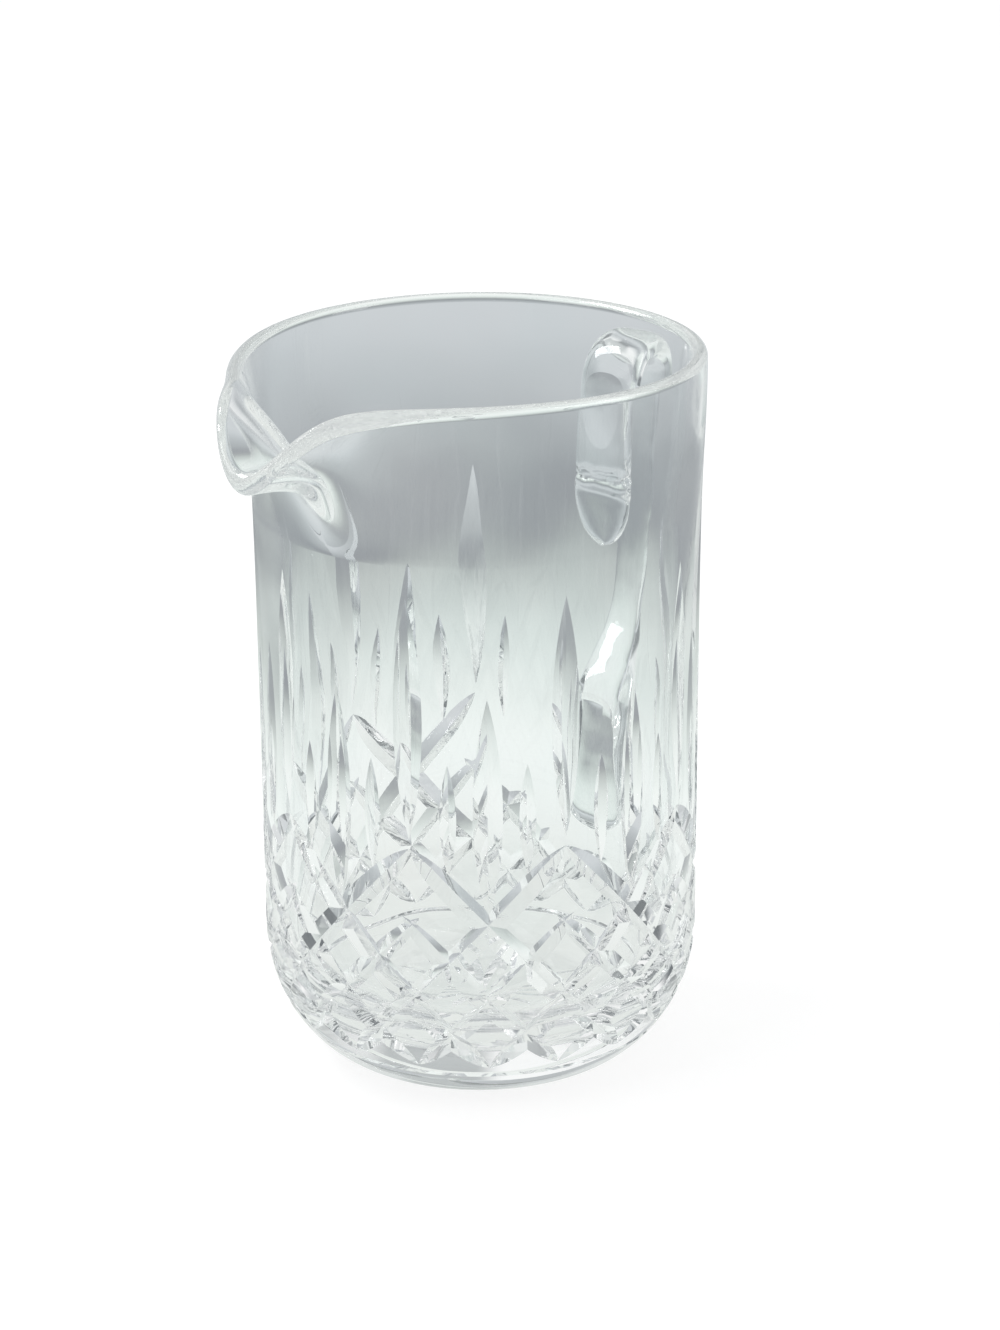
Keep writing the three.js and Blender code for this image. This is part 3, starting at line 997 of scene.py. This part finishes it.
        handle = mesh_object("handle_glass", *loft(rings, Ending.POINT, Ending.POINT))
        handle.data.materials.append(DRAWN.material())
        subtract(handle, self.core())
        handle.data.set_sharp_from_angle(angle=math.radians(self.sharp_angle))
        return handle

    def core(self) -> Object:
        """Return the space inside the wall that the strap's seals can't enter."""
        top = self.skin.height - self.core_below_rim
        z = np.linspace(self.core_foot, top, self.core_rows)[:, None]
        around = np.radians(np.arange(0.0, 360.0, 1.0))
        radius = self.skin.outer(z) - self.embed
        rings = [radius * np.cos(around), radius * np.sin(around), z + 0 * around]
        return mesh_object("wall_core", *loft(np.stack(rings, axis=-1), Ending.FLAT, Ending.FLAT))


@dataclass
class Studio:
    """The pale floor, the soft light and the camera at the photograph's angle."""

    azimuth: float = -52.0
    elevation: float = 20.49
    distance: float = 802.6
    target_height: float = 82.5
    roll: float = 0.51
    lens_pixels: float = 3541.0
    picture: Pair = (1000.0, 1330.0)
    target_pixel: Pair = (478.8, 700.1)
    sensor: float = 36.0
    clip_start: float = 0.05
    bounces: int = 160
    floor_half: float = 3000.0
    floor_drop: float = 0.05
    floor_reach: float = 700.0
    floor_glow: float = 0.86
    floor_lit: float = 0.2
    floor_plain: float = 0.85
    dark_tone: str = "#6A6F73"
    dark_flags: tuple[tuple[Triple, float, float], ...] = (
        ((-0.72, -0.56, 0.41), 0.7, 0.9),
        ((0.81, -0.57, 0.1), 0.92, 0.98),
        ((-0.35, 0.93, 0.1), 0.9, 0.97),
    )
    sheet_turn: float = 38.0
    sheet_width: float = 0.82
    # Painted light and shade on the floor as glass sees it, by share of floor_reach: a faint
    # painted shadow near the object, a painted pool of light near 0.24, painted grey shade further
    # off.
    painted_floor_light_tones: Stops = (
        (0.0, "#E4E8E5"), (0.13, "#E8ECE9"), (0.24, "#F5F9F7"), (0.31, "#EEF4F1"),
        (0.4, "#D8DFDC"), (0.48, "#B2B8B7"), (0.54, "#999DA1"), (0.63, "#A8ADB0"),
        (0.84, "#C4C9CC"), (1.0, "#D0D4D7"),
    )
    light_tones: Stops = (
        (0.0, "#C2C6C9"), (0.2, "#D2D6D8"), (0.45, "#FFFFFF"), (1.0, "#F0F2F1"),
    )
    dark_tones: Stops = (
        (0.0, "#BCC0C4"), (0.2, "#9BA0A3"), (0.36, "#8E9294"), (0.5, "#C6CACB"), (1.0, "#E4E7E6"),
    )
    patch_scale: float = 1.7
    patch_edges: Pair = (0.42, 0.58)

    def camera(self) -> None:
        """Create the camera: position from the two angles, shift from the framing."""
        data = bpy.data.cameras.new("camera")
        width, height = self.picture
        data.sensor_fit = "VERTICAL"
        data.sensor_height = self.sensor
        data.lens = self.lens_pixels / height * data.sensor_height
        data.shift_x = (width / 2.0 - self.target_pixel[0]) / height
        data.shift_y = (self.target_pixel[1] - height / 2.0) / height
        data.clip_start = self.clip_start
        a, e = math.radians(self.azimuth), math.radians(self.elevation)
        way = Vector((math.sin(a) * math.cos(e), -math.cos(a) * math.cos(e), math.sin(e)))
        camera = bpy.data.objects.new("camera", data)
        turn = (-way).to_track_quat("-Z", "Y").to_matrix().to_4x4()
        turn = turn @ Matrix.Rotation(math.radians(-self.roll), 4, "Z")
        spot = (Vector((0.0, 0.0, self.target_height)) + way * self.distance) * MM
        camera.matrix_world = Matrix.Translation(spot) @ turn
        bpy.context.scene.collection.objects.link(camera)
        bpy.context.scene.camera = camera

    def floor(self) -> Object:
        """Make the floor, white to the camera and shaded away from the object.

        Seen through glass the floor glows with painted light: a faint painted shadow
        close round the object, a painted pool of light beyond it, and painted shade
        that turns to grey further off.

        Returns:
            The floor, which isn't part of the object.
        """
        half, low = self.floor_half, -self.floor_drop
        corners = [[-half, -half, low], [half, -half, low], [half, half, low], [-half, half, low]]
        floor = mesh_object("floor", np.array(corners), [[0, 1, 2, 3]])
        made = bpy.data.materials.new("studio_floor_painted_light")
        add = node_maker(made)
        place = add("TexCoord").outputs["Object"]
        turned = add(
            "Mapping", {"vector_type": "TEXTURE"}, Vector=place,
            Rotation=(0.0, 0.0, math.radians(self.sheet_turn)), Scale=(1.0, self.sheet_width, 1.0),
        )
        distance = add("VectorMath", {"operation": "LENGTH"}, _0=turned)
        share = add("MapRange", Value=distance.outputs["Value"], From_Max=self.floor_reach * MM)
        colour = add("ValToRGB", Fac=share)
        colour.color_ramp.interpolation = "CARDINAL"
        self.fill_ramp(colour, self.painted_floor_light_tones)
        ray = add("LightPath").outputs
        through = add(
            "Math", {"operation": "MAXIMUM"},
            _0=ray["Is Transmission Ray"], _1=ray["Is Glossy Ray"],
        )
        # The floor glows in the painted light and shade tones to transmission and gloss rays.
        seen = add("Emission", Color=colour)
        white = add("Emission", Color=(1, 1, 1, 1), Strength=self.floor_glow)
        lit, plain = (
            add("BsdfDiffuse", Color=(grey, grey, grey, 1))
            for grey in (self.floor_lit, self.floor_plain)
        )
        sheet = add("AddShader", _0=white, _1=lit)
        direct = add("MixShader", Fac=ray["Is Camera Ray"], _1=plain, _2=sheet)
        whole = add("MixShader", Fac=through, _1=direct, _2=seen)
        add("OutputMaterial", Surface=whole)
        floor.data.materials.append(made)
        return floor

    def fill_ramp(self, ramp: Node, stops: Stops) -> None:
        """Give a colour ramp its stops, from the first to the last."""
        elements = ramp.color_ramp.elements
        for element, (position, code) in zip(elements, (stops[0], stops[-1])):
            element.position, element.color = position, linear(code)
        for position, code in stops[1:-1]:
            elements.new(position).color = linear(code)

    def world(self) -> None:
        """Light the room: white to the camera, a soft grey room to the glass.

        A dark flag covers each of the directions in dark_flags, from the first
        cosine, where it starts, to the second, where it is full.
        """
        world = bpy.data.worlds.new("studio")
        bpy.context.scene.world = world
        add = node_maker(world)
        way = add("TexCoord").outputs["Generated"]
        height = add("SeparateXYZ", Vector=way).outputs["Z"]
        light = add("ValToRGB", Fac=height)
        dark = add("ValToRGB", Fac=height)
        self.fill_ramp(light, self.light_tones)
        self.fill_ramp(dark, self.dark_tones)
        patch = add("TexNoise", Vector=way, Scale=self.patch_scale, Detail=1.0)
        share = add(
            "MapRange", {"interpolation_type": "SMOOTHSTEP"},
            Value=patch, From_Min=self.patch_edges[0], From_Max=self.patch_edges[1],
        )
        tone = add("Mix", {"data_type": "RGBA"}, _0=share, _6=dark, _7=light).outputs[2]
        for aim, edge, full in self.dark_flags:
            toward = add(
                "VectorMath", {"operation": "DOT_PRODUCT"}, _0=way, _1=Vector(aim).normalized(),
            )
            covered = add(
                "MapRange", {"interpolation_type": "SMOOTHSTEP"},
                Value=toward.outputs["Value"], From_Min=edge, From_Max=full,
            )
            tone = add(
                "Mix", {"data_type": "RGBA"}, _0=covered, _6=tone, _7=linear(self.dark_tone),
            ).outputs[2]
        ray = add("LightPath").outputs
        room = add("Background", Color=tone)
        white = add("Background", Color=(1, 1, 1, 1))
        whole = add("MixShader", Fac=ray["Is Camera Ray"], _1=room, _2=white)
        add("OutputWorld", Surface=whole)

    def lamp(self, name: str, spot: Triple, size: Pair, power: float) -> None:
        """Hang one soft box that faces the object, seen in gloss but not through the glass.

        Args:
            name: The lamp's name.
            spot: Its place in millimetres.
            size: Its width and height in millimetres.
            power: Its power in watts.
        """
        data = bpy.data.lights.new(name, "AREA")
        data.shape = "RECTANGLE"
        data.size, data.size_y = size[0] * MM, size[1] * MM
        data.energy = power
        lamp = bpy.data.objects.new(name, data)
        lamp.visible_transmission = False
        place = Vector(spot) * MM
        aim = Vector((0.0, 0.0, self.target_height * MM)) - place
        turn = aim.to_track_quat("-Z", "Y").to_matrix().to_4x4()
        lamp.matrix_world = Matrix.Translation(place) @ turn
        bpy.context.scene.collection.objects.link(lamp)

    def build(self) -> None:
        """Set up the camera, the floor, the world and the lamps."""
        self.camera()
        self.floor()
        self.world()
        self.lamp("key_box", (-1300.0, 500.0, 1300.0), (1000.0, 1200.0), 9.0)
        self.lamp("fill_box", (600.0, -1500.0, 900.0), (700.0, 1200.0), 6.0)
        self.lamp("top_box", (-220.0, 900.0, 1170.0), (600.0, 600.0), 9.0)
        scene = bpy.context.scene
        scene.view_settings.view_transform = "Standard"
        scene.cycles.max_bounces = self.bounces
        scene.cycles.transmission_bounces = self.bounces
        scene.cycles.glossy_bounces = self.bounces


def finish_piece(piece: Object, node: str) -> None:
    """Tie a finished piece to the frame and report it.

    Args:
        piece: The piece.
        node: The construction node that it stands for.
    """
    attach(piece, ROOT)
    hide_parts(node)
    LOG.info("%s: %d faces", piece.name, len(piece.data.polygons))


def main() -> None:
    """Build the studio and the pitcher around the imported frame."""
    logging.basicConfig(level=logging.INFO, format="%(name)s: %(message)s")
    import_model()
    Studio().build()
    body = Body()
    finish_piece(body.build(Pattern(body.skin)), "body")
    finish_piece(Strap(body.skin).build(), "handle")


if __name__ == "__main__":
    main()
